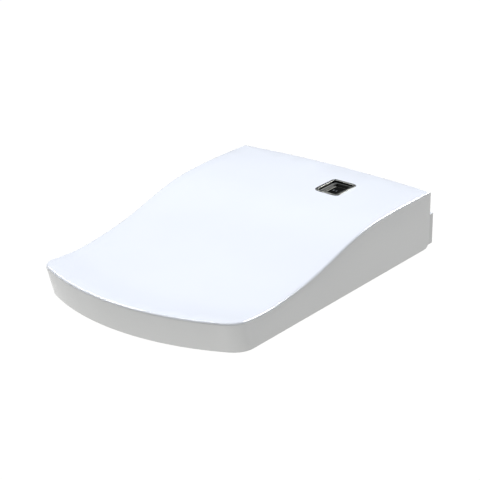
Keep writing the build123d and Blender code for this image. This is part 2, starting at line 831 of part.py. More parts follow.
def upper_case():
    """The wash unit's cover, with the hinge barrel along its rear."""
    wide = 2 * case_half_width
    shell = Pos(-case_half_width, 0, 0) * extrude(case_side(0), amount=wide, dir=(1, 0, 0))
    front_edges = shell.edges().filter_by(Axis.Z).group_by(Axis.Y)[0]
    shell = fillet(front_edges, case_corner_radius)
    hollow = extrude(case_side(case_wall), amount=2 * case_inner_x, dir=(1, 0, 0))
    shell -= Pos(-case_inner_x, 0, 0) * hollow
    low_z = case_seam_z - overcut
    front_y, rear_y = case_front_y + case_wall, rear_seam_y - case_wall
    shell -= block(-case_inner_x, case_inner_x, front_y, rear_y, low_z, case_seam_z + case_wall + overcut)
    shell -= block(
        -case_inner_x, case_inner_x, rear_y - overcut, rear_seam_y + overcut, low_z, cover_top_z - case_wall
    )
    for x, y in post_places:
        shell += both_sides(rod_z(post_radius, x, y, case_seam_z, case_top_z - case_wall / 2))
        shell -= both_sides(rod_z(screw_radius, x, y, low_z, case_seam_z + screw_reach))
    for x in (board_x0 + board_inset, board_x1 - board_inset):
        for y in (-board_half_length + board_inset, board_half_length - board_inset):
            shell += rod_z(3, x, window_y + y, board_top_z, case_top_z - case_wall / 2)
    for x in (outlet_x0 - 4, outlet_x1):
        shell += block(x, x + 4, case_front_y + 1, case_front_y + 5, flap_axis_z - 3, outlet_z1 + 1)
    shell -= rod_x(
        flap_pin_radius + running_gap,
        outlet_x0 - flap_pin_length - seat_gap,
        outlet_x1 + flap_pin_length + seat_gap,
        flap_axis_y,
        flap_axis_z,
    )
    shell -= front_openings()
    shell -= both_sides(rod_x(bush_radius, case_inner_x - 1, case_half_width + 1, hinge_y, hinge_z))
    shell -= key_frame_block(key_frame_lip, case_top_z - 9, case_top_z + 9)
    front_slab = (case_front_y - overcut, case_front_y + case_wall + overcut)
    shell -= block(sensor_x0, sensor_x1, *front_slab, sensor_z0, sensor_z1)
    shell -= block(-light_half_width, light_half_width, *front_slab, light_z0, light_z1)
    return shell


def key_frame_block(inset, z0, z1):
    """A block of the key frame's outline, drawn in by inset."""
    width, length = key_width - 2 * inset, key_length - 2 * inset
    return rounded_block(window_x, window_y, width, length, key_corner - inset, z0, z1)


def key_block(spread, z0, z1):
    """A block of the key's hole in its frame, grown by spread."""
    width, length = key_hole_width + 2 * spread, key_hole_length + 2 * spread
    return rounded_block(key_x, window_y, width, length, key_corner, z0, z1)


def stem_block(clearance, x0, x1):
    """The release button's stem, grown by a clearance."""
    half_w, half_h = stem_width / 2 + clearance, stem_height / 2 + clearance
    return block(x0, x1, button_y - half_w, button_y + half_w, button_z - half_h, button_z + half_h)


def button_head(clearance, x0, x1):
    """The release button's head, grown by a clearance."""
    half_l, half_h = button_length / 2 + clearance, button_height / 2 + clearance
    return block(x0, x1, button_y - half_l, button_y + half_l, button_z - half_h, button_z + half_h)


def lower_case():
    """The wash unit's tray: floor, side rails, posts, and the raised table that slides over the plate."""
    w = base_half_width
    tray = block(-w, w, case_front_y, rear_seam_y, base_bottom_z, case_seam_z)
    corners = tray.edges().filter_by(Axis.Z).group_by(Axis.Y)[0]
    tray = fillet(corners, case_corner_radius)
    tray += block(-w, w, rear_seam_y, base_rear_y, base_bottom_z, cover_bottom_z)
    front_y, rear_y = case_front_y + case_wall, rear_seam_y - case_wall
    tray -= block(-case_inner_x, case_inner_x, front_y, rear_y, base_floor_z, case_seam_z + overcut)
    tray -= block(
        -case_inner_x, case_inner_x, rear_y - overcut, base_rear_y - case_wall, base_floor_z, case_seam_z + 1
    )
    channel_x0 = case_half_width + side_channel_wall
    channel_x1 = w - case_wall
    channel = block(
        channel_x0, channel_x1, front_y + 2, rear_y, base_bottom_z - overcut, case_seam_z - side_channel_wall
    )
    tray -= both_sides(channel)
    t = table_half_width
    tray += block(-t, t, plate_front_y - seat_gap - rail_wall, base_rear_y, base_bottom_z, table_top_z)
    pocket_half = plate_half_width + slide_gap
    pocket_y0 = plate_front_y - seat_gap
    tray -= block(
        -pocket_half, pocket_half, pocket_y0, base_rear_y + overcut, 0, plate_thickness + slide_gap
    )
    hook_x = plate_core_half_width + slide_gap
    hook = block(hook_x, t, pocket_y0, base_rear_y, rail_foot_z, plate_flange_z - slide_gap)
    hook += block(pocket_half, t, pocket_y0, base_rear_y, rail_foot_z, table_top_z)
    tray += both_sides(hook)
    for x, y in post_places:
        tray += both_sides(rod_z(post_radius, x, y, base_floor_z, case_seam_z))
        tray -= both_sides(rod_z(screw_radius, x, y, 0, case_seam_z + overcut))
        tray -= both_sides(rod_z(screw_head_radius, x, y, 0, base_bottom_z + screw_head_height))
    for x in (power_x0 + board_inset, power_x1 - board_inset):
        for y in (power_y0 + board_inset, power_y1 - board_inset):
            tray += rod_z(3, x, y, base_floor_z, power_z)
    for x in guide_places:
        guide = block(x - 3, x + 3, button_y - 7, button_y + 7, base_floor_z, button_z + 5)
        tray += guide - stem_block(slide_gap, x - 4, x + 4)
    tray -= stem_block(slide_gap, case_inner_x - 1, channel_x0 + 1)
    tray -= button_head(slide_gap, channel_x1 - 1, w + 1)
    tongue_x0 = stem_inner_x - button_travel - 1
    tray -= block(
        tongue_x0, stem_inner_x + 7, button_y - 4, button_y + 4, plate_thickness, table_top_z + overcut
    )
    return tray - front_openings()


def rear_cover():
    """The full-width block behind the lid, with the water inlet's recess and the service openings."""
    w, wall = base_half_width, case_wall
    end_x, end_y = half_width - cover_end_inset, lid_rear_y + cover_end_gap
    cover = block(-w, w, rear_seam_y, cover_rear_y, cover_bottom_z, cover_top_z)
    cover += block(-end_x, end_x, end_y, cover_rear_y, cover_bottom_z, cover_top_z)
    cover += both_sides(
        block(end_x - cover_foot_width, end_x, end_y, cover_rear_y, cover_foot_z, cover_top_z)
    )
    uprights = cover.edges().filter_by(Axis.Z).group_by(Axis.X)
    rear_lines = cover.edges().filter_by(Axis.X).group_by(Axis.Y)[-1]
    cover = fillet(uprights[0] + uprights[-1] + rear_lines.sort_by(Axis.Z)[-1:], cover_corner_radius)
    floor_z, roof_z = cover_bottom_z + wall, cover_top_z - wall
    inner_rear = cover_rear_y - wall
    cover -= block(-w + wall, w - wall, rear_seam_y + wall, inner_rear, floor_z, roof_z)
    cover -= block(-case_inner_x, case_inner_x, rear_seam_y - overcut, inner_rear, floor_z, roof_z)
    pocket_x0 = inlet_x - inlet_pocket_half_width
    pocket_x1 = inlet_x + inlet_pocket_half_width
    pocket_y = cover_rear_y - inlet_pocket_depth
    cover += block(
        pocket_x0 - wall, pocket_x1 + wall, pocket_y - wall, inner_rear + 1, floor_z, inlet_pocket_top_z + wall
    )
    cover -= block(
        pocket_x0, pocket_x1, pocket_y, cover_rear_y + overcut, cover_bottom_z - overcut, inlet_pocket_top_z
    )
    collar_hole = inlet_thread_radius + inlet_collar + running_gap
    cover -= rod_y(collar_hole, inlet_x, pocket_y - wall - 1, pocket_y + 1, inlet_z)
    socket_radius = filter_flange_radius + filter_socket_wall
    cover += rod_y(socket_radius, filter_x, cover_rear_y - filter_length, inner_rear + 1, inlet_z)
    cover -= rod_y(
        filter_radius + running_gap, filter_x, cover_rear_y - filter_length, cover_rear_y + 1, inlet_z
    )
    cover -= rod_y(
        filter_flange_radius + slide_gap, filter_x, cover_rear_y - wall - seat_gap, cover_rear_y + 1, inlet_z
    )
    cover -= deodoriser_block(slide_gap, inner_rear - 1, cover_rear_y + 1)
    cover -= rod_y(gland_radius, gland_x, inner_rear - 1, cover_rear_y + 1, gland_z)
    return cover


def case_feet():
    """Rubber feet that carry the wash unit on the rim."""
    return [
        rod_z(foot_radius, side * (half_width - inward), y, 0, base_bottom_z)
        for inward, y in foot_places
        for side in (-1, 1)
    ]


def case_screws():
    """The four screws that hold the upper case to the lower one."""
    screws = []
    for x, y in post_places:
        head = rod_z(screw_head_radius, x, y, base_bottom_z, base_bottom_z + screw_head_height)
        screw = head + rod_z(screw_radius, x, y, base_bottom_z + 1, case_seam_z + screw_reach)
        screws += [screw, mirror(screw, about=Plane.YZ)]
    return screws


def release_button():
    """The button on the right-hand side that frees the wash unit from its plate, with its stem and tongue."""
    head = button_head(0, base_half_width - button_depth, base_half_width)
    head = fillet(head.edges().filter_by(Axis.X), 2.0)
    button = head + stem_block(0, stem_inner_x, base_half_width - button_depth)
    tongue_z = plate_thickness + slide_gap
    half = stem_width / 2
    return button + block(
        stem_inner_x, stem_inner_x + 6, button_y - half, button_y + half, tongue_z, button_z
    )


# ---------------------------------------------------------------- control key
def key_frame():
    """The bright frame around the key, standing up into the lid's window."""
    frame = key_frame_block(0, case_top_z, key_frame_top_z)
    frame = chamfer(frame.faces().sort_by(Axis.Z)[-1].outer_wire().edges(), 0.5)
    frame += key_frame_block(key_frame_lip, key_flange_z, case_top_z)
    frame -= key_block(0, key_flange_z - 1, key_frame_top_z + 1)
    return frame - key_block(key_ledge, key_flange_z - 1, key_step_z)


def control_key():
    """The key: a cap in the frame, a flange under the frame's ledge and a plunger over the dome."""
    key = key_block(-slide_gap, key_step_z - 1, key_top_z)
    key = fillet(key.faces().sort_by(Axis.Z)[-1].outer_wire().edges(), 0.6)
    key += key_block(key_ledge - slide_gap, key_flange_z, key_step_z - seat_gap)
    return key + rod_z(2.5, key_x, window_y, plunger_z, key_flange_z)


def key_dome():
    """The rubber dome that the key presses."""
    return Pos(key_x, window_y, board_top_z + dome_height / 2) * Cone(dome_radius, 2.5, dome_height)


def control_board():
    """The control circuit board, under the key."""
    y0, y1 = window_y - board_half_length, window_y + board_half_length
    board = block(board_x0, board_x1, y0, y1, board_top_z - board_thickness, board_top_z)
    low_z = board_top_z - board_thickness
    chip_y = window_y + chip_length / 2
    for i in range(3):
        x = board_x0 + chip_spacing * (i + 0.8)
        size = chip_size + i
        board += block(x - size, x + size, chip_y, chip_y + chip_length, low_z - chip_height, low_z + 1)
    return board


def power_board():
    """The power supply board with its transformer and capacitors."""
    board = block(power_x0, power_x1, power_y0, power_y1, power_z, power_z + board_thickness)
    top = power_z + board_thickness
    x0, y0 = power_x0 + 3 * board_inset, power_y0 + 3 * board_inset
    x1, y1 = x0 + transformer_width, y0 + transformer_length
    board += block(x0, x1, y0, y1, power_z + 1, top + transformer_height)
    x = x1 + 3 * capacitor_radius
    for y in (y0 + capacitor_radius, y1):
        board += rod_z(capacitor_radius, x, y, power_z + 1, top + capacitor_height)
    return board


def sensor_window():
    """The dark window of the occupancy sensor, in the case's front."""
    front = case_front_y
    gap = 0.1
    return block(
        sensor_x0 + gap, sensor_x1 - gap, front, front + case_wall, sensor_z0 + gap, sensor_z1 - gap
    )


def night_light():
    """The night light's lens, in the case's front."""
    gap = 0.1
    return block(
        -light_half_width + gap,
        light_half_width - gap,
        case_front_y,
        case_front_y + case_wall,
        light_z0 + gap,
        light_z1 - gap,
    )


# ---------------------------------------------------------------- warm air
duct_front_y = flap_axis_y + 4.0
duct_rear_y = duct_front_y + duct_depth
duct_left_x = outlet_x0 - 24.0
blower_floor_z = outlet_z0 + 2.0
blower_top_z = blower_floor_z + blower_height + 2 * duct_wall
spout_top_z = outlet_z1 - duct_wall - slide_gap


def air_duct():
    """The duct from the blower to the outlet in the case's front."""
    wall = duct_wall
    x1 = outlet_x1
    duct = block(duct_left_x, x1, duct_front_y, duct_rear_y, outlet_z0, outlet_z1)
    duct -= block(
        duct_left_x - overcut, x1 - wall, duct_front_y + wall, duct_rear_y - wall, outlet_z0 + wall, outlet_z1 - wall
    )
    duct -= block(
        outlet_x0, x1 - wall, duct_front_y - overcut, duct_rear_y - wall, outlet_z0 + wall, outlet_z1 - wall
    )
    for x in (duct_left_x + 8, x1 - 8):
        duct += rod_z(3, x, duct_rear_y - 4, base_floor_z, outlet_z0)
    return duct


def air_heater():
    """The finned heater in the duct."""
    wall = duct_wall + slide_gap
    x0, x1 = outlet_x0 - 12.0, outlet_x0 - 2.0
    y0, y1 = duct_front_y + wall, duct_rear_y - wall
    z0, z1 = outlet_z0 + wall, outlet_z1 - wall
    heater = block(x0, x1, y0, y1, z0, z1)
    fins = 6
    pitch = (y1 - y0) / fins
    for i in range(fins):
        y = y0 + pitch * i
        heater -= block(x0 - 1, x1 + 1, y + 0.8, y + pitch - 0.4, z0 + 1.5, z1 - 1.5)
    return heater


def blower_housing():
    """The blower's round housing with its spout into the duct."""
    r, wall = blower_radius + 1.0, duct_wall
    spout_y0, spout_y1 = duct_front_y + wall + slide_gap, duct_rear_y - wall - slide_gap
    outer = rod_z(r + wall, blower_x, blower_y, blower_floor_z, blower_top_z)
    outer += block(blower_x, duct_left_x + 4, spout_y0, spout_y1, blower_floor_z, spout_top_z)
    inner = rod_z(r, blower_x, blower_y, blower_floor_z + wall, blower_top_z - wall)
    inner += block(
        blower_x, duct_left_x + 5, spout_y0 + wall, spout_y1 - wall, blower_floor_z + wall, spout_top_z - wall
    )
    housing = outer - inner
    housing -= rod_z(12, blower_x, blower_y, blower_floor_z - 1, blower_floor_z + wall + 1)
    housing -= rod_z(motor_shaft_radius + running_gap, blower_x, blower_y, blower_top_z - 3, blower_top_z + 1)
    for x, y in ((18, -8), (-12, 17), (-12, -17)):
        housing += rod_z(4, blower_x + x, blower_y + y, base_floor_z, blower_floor_z)
    return housing


def blower_wheel():
    """The centrifugal wheel on its shaft, which turns in the motor above."""
    floor = blower_floor_z + duct_wall + 2
    roof = blower_top_z - duct_wall - 2
    radius = blower_radius - 3
    wheel = rod_z(radius, blower_x, blower_y, floor, floor + 1.5)
    wheel += rod_z(5, blower_x, blower_y, floor, roof)
    wheel += rod_z(motor_shaft_radius, blower_x, blower_y, floor, blower_top_z + 8)
    blades = 20
    blade = block(radius - 9, radius - 0.5, -0.5, 0.5, floor, roof)
    turned = [
        Pos(blower_x, blower_y, 0) * Rot(0, 0, 360 * i / blades) * Pos(radius, 0, 0)
        * Rot(0, 0, 35) * Pos(-radius, 0, 0) * blade
        for i in range(blades)
    ]
    return wheel.fuse(*[b & rod_z(radius, blower_x, blower_y, floor, roof) for b in turned])


def blower_motor():
    """The blower's motor, on top of the housing."""
    body = rod_z(11, blower_x, blower_y, blower_top_z, blower_top_z + 18)
    body = chamfer(body.edges().filter_by(GeomType.CIRCLE).sort_by(Axis.Z)[-1], 1.5)
    return body - rod_z(
        motor_shaft_radius + running_gap, blower_x, blower_y, blower_top_z - 1, blower_top_z + 8.5
    )


def air_flap():
    """The flap that covers the warm air outlet, with its pins."""
    x0, x1 = outlet_x0 + slide_gap, outlet_x1 - slide_gap
    front = case_front_y
    flap = block(x0, x1, front, front + flap_thickness, outlet_z0 + slide_gap, flap_axis_z)
    flap += rod_x(2.0, x0, x1, flap_axis_y, flap_axis_z)
    pin_x0, pin_x1 = outlet_x0 - flap_pin_length, outlet_x1 + flap_pin_length
    return flap + rod_x(flap_pin_radius, pin_x0, pin_x1, flap_axis_y, flap_axis_z)


# ---------------------------------------------------------------- deodoriser
def deodoriser_block(clearance, y0, y1):
    """The cartridge's section, grown by a clearance."""
    half_w, half_h = cartridge_width / 2 + clearance, cartridge_height / 2 + clearance
    return block(
        deodoriser_x - half_w, deodoriser_x + half_w, y0, y1, deodoriser_z - half_h, deodoriser_z + half_h
    )


def deodoriser_housing():
    """The sleeve that holds the cartridge, with the fan's seat at its front."""
    inner_rear = cover_rear_y - case_wall
    front = deodoriser_front_y
    sleeve = deodoriser_block(slide_gap + deodoriser_wall, front, inner_rear)
    sleeve -= deodoriser_block(slide_gap, front + 16, inner_rear + 1)
    sleeve -= rod_y(fan_radius + 1, deodoriser_x, front + 4, front + 17, deodoriser_z)
    for x in (-6, 6):
        for z in (-6, 6):
            sleeve -= rod_y(2.5, deodoriser_x + x, front - 1, front + 5, deodoriser_z + z)
    sleeve -= rod_y(1 + running_gap, deodoriser_x, front + 1, front + 5, deodoriser_z)
    foot_top = deodoriser_z - cartridge_height / 2 - slide_gap - deodoriser_wall
    return sleeve + block(
        deodoriser_x - 12, deodoriser_x + 12, front + 2, front + 10, table_top_z, foot_top
    )


def deodoriser_fan():
    """The small fan that draws air through the cartridge."""
    y0 = deodoriser_front_y + 5
    fan = rod_y(3.5, deodoriser_x, y0, y0 + 7, deodoriser_z)
    fan += rod_y(1, deodoriser_x, deodoriser_front_y + 1.3, y0 + 7, deodoriser_z)
    blade = block(-1.6, 1.6, 1, 6, 2.5, fan_radius)
    blades = [
        Pos(deodoriser_x, y0, deodoriser_z) * Rot(0, 60 * i, 0) * blade for i in range(6)
    ]
    return fan.fuse(*blades)


def deodoriser_cartridge():
    """The carbon cartridge, which pulls out to the rear by its recessed grip."""
    body = deodoriser_block(0, cartridge_front_y, cover_rear_y)
    body -= deodoriser_block(-4, cover_rear_y - 5, cover_rear_y + 1)
    grip = block(
        deodoriser_x - 14, deodoriser_x + 14, cover_rear_y - 6, cover_rear_y - 0.5, deodoriser_z - 1, deodoriser_z + 1
    )
    body += grip
    for i in range(5):
        x = deodoriser_x - 12 + 6 * i
        body -= block(
            x - 1.5, x + 1.5, cartridge_front_y - 1, cartridge_front_y + 30, deodoriser_z - 7, deodoriser_z + 7
        )
    return body


# ---------------------------------------------------------------- water
pocket_wall_y = cover_rear_y - inlet_pocket_depth
valve_x0, valve_x1 = inlet_x - valve_width / 2, inlet_x + valve_width / 2


def water_inlet():
    """The threaded water inlet in the rear cover's recess, with its flange and its tail to the valve."""
    thread = rod_y(inlet_thread_radius, inlet_x, pocket_wall_y, pocket_wall_y + inlet_thread_length, inlet_z)
    flange_y = pocket_wall_y - case_wall
    body = thread + rod_y(inlet_thread_radius + inlet_collar, inlet_x, flange_y, pocket_wall_y, inlet_z)
    body += rod_y(inlet_thread_radius + 4, inlet_x, flange_y - 3, flange_y, inlet_z)
    body += rod_y(inlet_bore_radius + 2, inlet_x, valve_rear_y, flange_y - 3, inlet_z)
    return body - rod_y(inlet_bore_radius, inlet_x, valve_rear_y + 2, cover_rear_y + 1, inlet_z)


def filter_plug():
    """The water filter's plug, turned with a coin."""
    flange = rod_y(filter_flange_radius, filter_x, cover_rear_y - case_wall, cover_rear_y, inlet_z)
    plug = flange + rod_y(
        filter_radius, filter_x, cover_rear_y - filter_length + 1, cover_rear_y - case_wall, inlet_z
    )
    slot = block(filter_x - 8, filter_x + 8, cover_rear_y - 1.5, cover_rear_y + 1, inlet_z - 1, inlet_z + 1)
    ring = rod_y(filter_radius + 1, filter_x, cover_rear_y - 12, cover_rear_y - 10, inlet_z)
    groove = ring - rod_y(filter_radius - 1.2, filter_x, cover_rear_y - 13, cover_rear_y - 9, inlet_z)
    return plug - slot - groove


def solenoid_valve():
    """The inlet valve: a body on the floor with its coil above."""
    top_z = inlet_z + valve_rise
    body = block(valve_x0, valve_x1, valve_front_y, valve_rear_y, base_floor_z, top_z)
    coil = rod_z(coil_radius, inlet_x, (valve_front_y + valve_rear_y) / 2, top_z, top_z + coil_height)
    nipple_z = base_floor_z + pump_height / 3
    nipple = rod_y(hose_radius, inlet_x - 3, pump_y + pump_radius / 2, valve_front_y, nipple_z)
    return body + coil + (nipple - rod_z(pump_radius, pump_x, pump_y, base_floor_z, top_z))


def pump():
    """The water pump, standing on the floor."""
    body = rod_z(pump_radius, pump_x, pump_y, base_floor_z, base_floor_z + pump_height)
    body = chamfer(body.edges().filter_by(GeomType.CIRCLE).sort_by(Axis.Z)[-1], 2.0)
    nipple_end = pump_x + pump_radius + nipple_length
    return body + rod_x(hose_radius, pump_x, nipple_end, pump_y, cold_hose_z)


def hose(points):
    """A hollow hose along straight runs with rounded bends."""
    path = FilletPolyline(*points, radius=hose_bend)
    start = Plane(origin=path @ 0, z_dir=path % 0)
    tube = sweep(start * Circle(hose_radius), path=path)
    return tube - sweep(start * Circle(hose_bore_radius), path=path)


def cold_hose():
    """The hose from the pump, behind the nozzles, to the heater tank."""
    start_x = pump_x + pump_radius + nipple_length
    turn_x = valve_x1 + 2 * hose_radius - 1
    z = cold_hose_z
    end_y = tank_y1 + nipple_length
    points = [(start_x, pump_y, z), (turn_x, pump_y, z), (turn_x, cold_hose_y, z)]
    points += [(cold_hose_x, cold_hose_y, z), (cold_hose_x, end_y, z)]
    return hose(points)


def warm_hose():
    """The hose from the heater tank to the diverter."""
    z = warm_hose_z
    start_y = tank_y1 + nipple_length
    end_x = diverter_half_width + nipple_length
    return hose([(warm_hose_x, start_y, z), (warm_hose_x, diverter_y, z), (end_x, diverter_y, z)])


def heater_tank():
    """The instant heater's tank with its two nipples."""
    tank = block(tank_x0, tank_x1, tank_y0, tank_y1, tank_z0, tank_z1)
    tank = fillet(tank.edges().filter_by(Axis.Z), 6.0)
    tank -= block(
        tank_x0 + tank_wall,
        tank_x1 - tank_wall,
        tank_y0 + tank_wall,
        tank_y1 - tank_wall,
        tank_z0 + tank_wall,
        tank_z1 - tank_wall,
    )
    for x, z in ((cold_hose_x, cold_hose_z), (warm_hose_x, warm_hose_z)):
        tank += rod_y(hose_radius, x, tank_y1 - tank_wall, tank_y1 + nipple_length, z)
        tank -= rod_y(hose_bore_radius, x, tank_y1 - tank_wall - 1, tank_y1 + nipple_length + 1, z)
    left_x, right_x = tank_x0 + 12, tank_x1 - 12
    near_y, far_y = tank_y0 + 12, tank_y1 - 12
    tank += rod_z(4, left_x, far_y, table_top_z, tank_z0)
    for x, y in ((left_x, near_y), (right_x, near_y), (right_x, far_y)):
        tank += rod_z(4, x, y, base_floor_z, tank_z0)
    return tank


def heater_element():
    """The sheathed heating rods inside the tank."""
    y0, y1 = tank_y0 + element_margin, tank_y1 - element_margin
    z = (tank_z0 + tank_z1) / 2
    x0, x1 = tank_x0 + element_margin, tank_x1 - tank_wall
    rods = rod_x(element_radius, x0, x1, y0, z) + rod_x(element_radius, x0, x1, y1, z)
    rods += rod_y(element_radius, x0, y0, y1, z)
    for y in (y0, y1):
        rods += Pos(x0, y, z) * Sphere(element_radius)
    return rods


def diverter_valve():
    """The valve that shares the water between the nozzles, with its motor on top."""
    half, size = diverter_half_width, diverter_size
    y0, y1 = diverter_y - size / 2, diverter_y + size / 2
    floor_z = cover_bottom_z + case_wall
    body = block(-half, half, y0, y1, floor_z, warm_hose_z + 6)
    body = fillet(body.edges().filter_by(Axis.Z), 3.0)
    body += rod_x(hose_radius, half - 1, half + nipple_length, diverter_y, warm_hose_z)
    for x in (-nozzle_half_spacing, nozzle_half_spacing):
        body += rod_y(3, x, y0 - 5, y0 + 1, floor_z + 20)
    return body + rod_z(9, -6, diverter_y, warm_hose_z + 5, warm_hose_z + 14)


def cord_gland():
    """The mains cord's gland in the rear cover, without a cord."""
    inner = cover_rear_y - case_wall
    gland = rod_y(gland_radius, gland_x, inner, cover_rear_y, gland_z)
    gland += rod_y(gland_radius + 2, gland_x, cover_rear_y - gland_length, inner, gland_z)
    return gland - rod_y(
        gland_bore_radius, gland_x, cover_rear_y - gland_length - 1, cover_rear_y + 1, gland_z
    )


# ---------------------------------------------------------------- write every node
os.makedirs("parts", exist_ok=True)
right_shaft = hinge_shaft()
right_damper = damper()
right_bush = hinge_bush()
save("lid_shell", lid_shell())
save("lid_window_trim", lid_window_trim())
save("lid_bumpers", *lid_bumpers())
save("lid_damper_shaft", mirror(right_shaft, about=Plane.YZ))
save("seat_top", seat_top())
save("seat_base", seat_base())
save("seat_heater", seat_heater())
save("seat_bumpers", *seat_bumpers())
save("seat_damper_shaft", right_shaft)
save("lid_damper", mirror(right_damper, about=Plane.YZ))
save("seat_damper", right_damper)
save("hinge_bushes", right_bush, mirror(right_bush, about=Plane.YZ))
save("mounting_plate", mounting_plate())
save("upper_case", upper_case())
save("lower_case", lower_case())
save("rear_cover", rear_cover())
save("case_feet", *case_feet())
save("case_screws", *case_screws())
save("release_button", release_button())
save("key_frame", key_frame())
save("control_key", control_key())
save("key_dome", key_dome())
save("control_board", control_board())
save("power_board", power_board())
save("sensor_window", sensor_window())
save("night_light", night_light())
save("nozzle_frame", nozzle_frame())
save("nozzle_motors", *nozzle_motors())
for label, side in (("rear", -1), ("front", 1)):
    x = side * nozzle_half_spacing
    save(f"{label}_nozzle", nozzle(x))
    save(f"{label}_nozzle_tip", nozzle_tip(x))
    save(f"{label}_nozzle_pinion", pinion(side))
save("air_duct", air_duct())
save("air_heater", air_heater())
save("air_flap", air_flap())
save("blower_housing", blower_housing())
save("blower_wheel", blower_wheel())
save("blower_motor", blower_motor())
save("deodoriser_housing", deodoriser_housing())
save("deodoriser_fan", deodoriser_fan())
save("deodoriser_cartridge", deodoriser_cartridge())
save("water_inlet", water_inlet())
save("filter_plug", filter_plug())
save("solenoid_valve", solenoid_valve())
save("pump", pump())
save("cold_hose", cold_hose())
save("warm_hose", warm_hose())
save("heater_tank", heater_tank())
save("heater_element", heater_element())
save("diverter_valve", diverter_valve())
save("cord_gland", cord_gland())
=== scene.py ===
import json
from math import cos, radians, sin

import bmesh
import bpy
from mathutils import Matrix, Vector


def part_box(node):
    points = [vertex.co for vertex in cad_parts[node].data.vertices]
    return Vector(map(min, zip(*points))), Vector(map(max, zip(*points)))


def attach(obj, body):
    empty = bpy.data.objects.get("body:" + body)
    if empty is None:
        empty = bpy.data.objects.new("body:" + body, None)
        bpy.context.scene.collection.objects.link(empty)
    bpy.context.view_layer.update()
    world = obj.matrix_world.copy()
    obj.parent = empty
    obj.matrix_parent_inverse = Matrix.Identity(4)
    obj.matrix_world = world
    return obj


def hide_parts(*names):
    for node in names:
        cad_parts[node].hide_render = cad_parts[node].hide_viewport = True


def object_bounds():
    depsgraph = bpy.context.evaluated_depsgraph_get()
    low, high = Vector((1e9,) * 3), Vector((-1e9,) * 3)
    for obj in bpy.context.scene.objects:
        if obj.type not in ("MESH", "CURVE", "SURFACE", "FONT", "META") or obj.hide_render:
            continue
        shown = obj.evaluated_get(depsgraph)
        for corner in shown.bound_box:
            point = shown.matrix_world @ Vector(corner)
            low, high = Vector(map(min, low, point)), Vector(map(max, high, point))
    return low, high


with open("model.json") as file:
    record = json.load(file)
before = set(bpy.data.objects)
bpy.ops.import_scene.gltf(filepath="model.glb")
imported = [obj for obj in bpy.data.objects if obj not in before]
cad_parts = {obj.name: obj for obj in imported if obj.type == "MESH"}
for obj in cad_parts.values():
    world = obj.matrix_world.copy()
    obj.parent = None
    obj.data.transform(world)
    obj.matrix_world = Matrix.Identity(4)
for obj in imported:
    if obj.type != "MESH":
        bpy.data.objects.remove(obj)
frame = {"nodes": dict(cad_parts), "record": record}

cad_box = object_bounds()
nodes = frame["nodes"]
body_of = {node: body for body, members in frame["record"]["behaviour"]["bodies"].items() for node in members}
slot_of = {part["node"]: part["material_slot"] for part in frame["record"]["subparts"]}


# ---------------------------------------------------------------- finishes
def finish(name, **sockets):
    """A new material with its Principled shader's own sockets set."""
    material = bpy.data.materials.new(name)
    material.use_nodes = True
    for socket, value in sockets.items():
        shader_of(material).inputs[socket.replace("_", " ")].default_value = value
    return material


def add_node(material, kind, **inputs):
    """A new node of the material's tree with its inputs set."""
    node = material.node_tree.nodes.new(kind)
    for name, value in inputs.items():
        node.inputs[name].default_value = value
    return node


def join(material, output, socket):
    """Link one node's output to another's input."""
    material.node_tree.links.new(output, socket)


def shader_of(material):
    """The material's Principled shader."""
    return material.node_tree.nodes["Principled BSDF"]


def object_place(material):
    """The Object coordinates that every pattern here is laid out on."""
    tree = material.node_tree
    if "Place" not in tree.nodes:
        place = tree.nodes.new("ShaderNodeTexCoord")
        place.name = "Place"
    return tree.nodes["Place"].outputs["Object"]


def noise(material, scale, detail, stretch=(1, 1, 1)):
    """A noise pattern, its scale in waves per metre."""
    pattern = add_node(material, "ShaderNodeTexNoise", Scale=scale, Detail=detail)
    if stretch == (1, 1, 1):
        join(material, object_place(material), pattern.inputs["Vector"])
    else:
        stretched = add_node(material, "ShaderNodeMapping", Scale=stretch)
        join(material, object_place(material), stretched.inputs["Vector"])
        join(material, stretched.outputs["Vector"], pattern.inputs["Vector"])
    return pattern.outputs["Fac"]


def tint(material, fac, low, high):
    """Base colour that runs from low to high with a pattern."""
    ramp = add_node(material, "ShaderNodeValToRGB")
    for stop, position, colour in zip(ramp.color_ramp.elements, (0.3, 0.7), (low, high)):
        stop.position = position
        stop.color = (*colour, 1)
    join(material, fac, ramp.inputs["Fac"])
    join(material, ramp.outputs["Color"], shader_of(material).inputs["Base Color"])


def gloss_range(material, fac, low, high):
    """Roughness that runs from low to high with a pattern."""
    spread = add_node(material, "ShaderNodeMapRange", **{"To Min": low, "To Max": high})
    join(material, fac, spread.inputs["Value"])
    join(material, spread.outputs["Result"], shader_of(material).inputs["Roughness"])


def relief(material, fac, height):
    """Bump from a pattern, its height in metres, laid over the relief already there."""
    bump = add_node(material, "ShaderNodeBump", Strength=1.0, Distance=height)
    join(material, fac, bump.inputs["Height"])
    normal = shader_of(material).inputs["Normal"]
    if normal.is_linked:
        join(material, normal.links[0].from_socket, bump.inputs["Normal"])
    join(material, bump.outputs["Normal"], normal)


def moulded(name, colour, gloss, grain=0.0, drift=0.012, index=1.5):
    """Injection-moulded plastic: a faint drift of colour, a soft ripple and, where it is matt, a fine eroded grain."""
    drift_waves, gloss_waves, ripple_waves, grain_waves = 9, 60, 28, 2600
    ripple_height = 0.00004
    material = finish(name, IOR=index)
    low = tuple(max(channel - drift, 0.0) for channel in colour)
    tint(material, noise(material, drift_waves, 1.0), low, colour)
    gloss_range(material, noise(material, gloss_waves, 2.0), *gloss)
    relief(material, noise(material, ripple_waves, 1.0), ripple_height)
    if grain:
        relief(material, noise(material, grain_waves, 2.0), grain)
    return material


